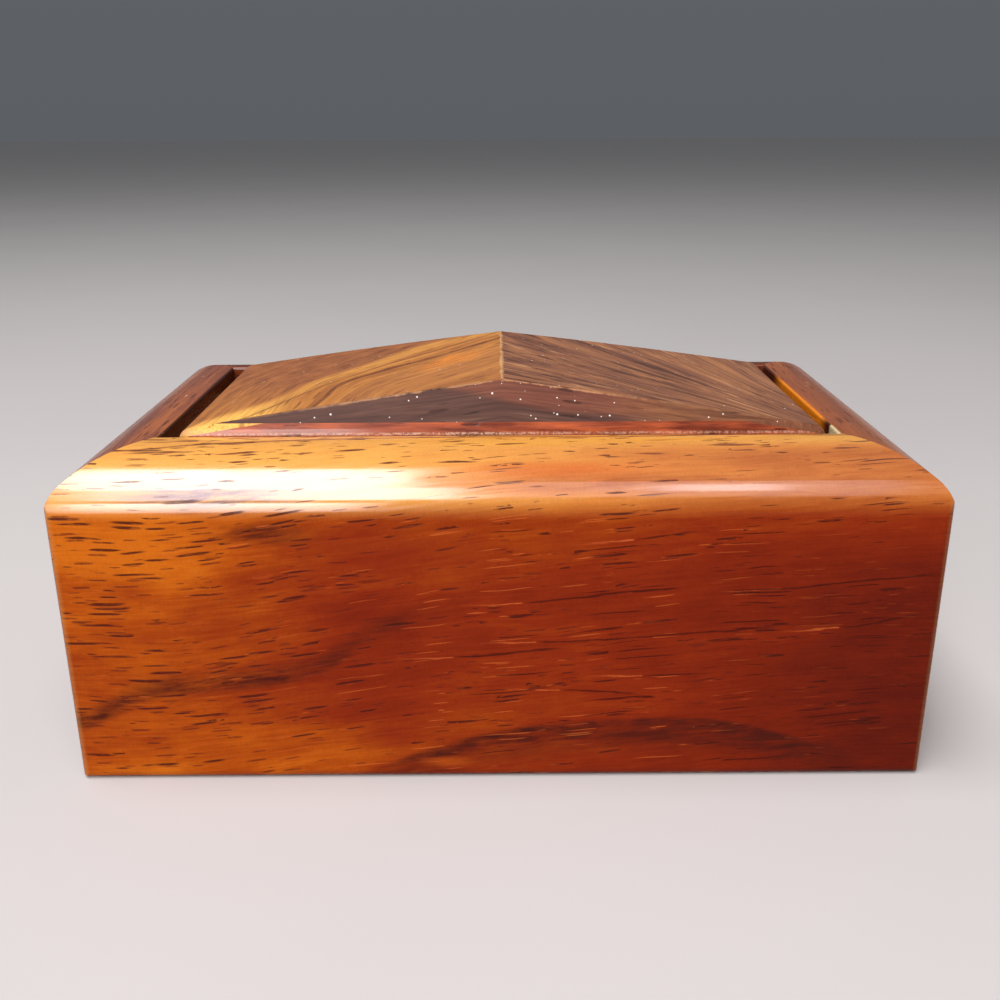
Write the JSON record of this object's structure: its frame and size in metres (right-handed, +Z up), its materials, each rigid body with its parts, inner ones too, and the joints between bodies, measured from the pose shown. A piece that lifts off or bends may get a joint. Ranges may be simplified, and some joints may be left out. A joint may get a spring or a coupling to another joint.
{
  "type": "sliding lid wooden box",
  "caption": "Small mitred hardwood keepsake box with crowned rims and a low gabled marquetry lid that slides out at the back.",
  "frame": {"origin": "middle of the base, on the surface the box rests on", "axes": "+X along the front towards its right end, +Y from the front to the back, +Z up"},
  "size_m": [0.114, 0.0666, 0.0518],
  "materials": {
    "front_wood": "gloss lacquer over orange and red-brown hardwood",
    "side_wood": "gloss lacquer over red-brown hardwood",
    "inside_wood": "satin, sanded and oiled hardwood",
    "plinth_wood": "gloss lacquer over dark red hardwood",
    "gable_wood": "gloss lacquer over dark purple-brown hardwood",
    "left_panel_wood": "gloss lacquer over golden tan figured hardwood",
    "right_panel_wood": "gloss lacquer over dark striped figured hardwood"
  },
  "bodies": {
    "box": {"front_wall": "front_wood", "back_wall": "front_wood", "left_wall": "side_wood", "right_wall": "side_wood", "bottom_panel": "inside_wood"},
    "lid": {"lid_back_rail": "front_wood", "lid_runner": "inside_wood", "lid_plinth": "plinth_wood", "lid_front_gable": "gable_wood", "lid_back_gable": "gable_wood", "lid_left_panel": "left_panel_wood", "lid_right_panel": "right_panel_wood"}
  },
  "joints": [
    {"name": "lid_slide", "type": "slide", "parent": "box", "child": "lid", "axis": [0, 1, 0], "range_m": [0, 0.06]}
  ]
}
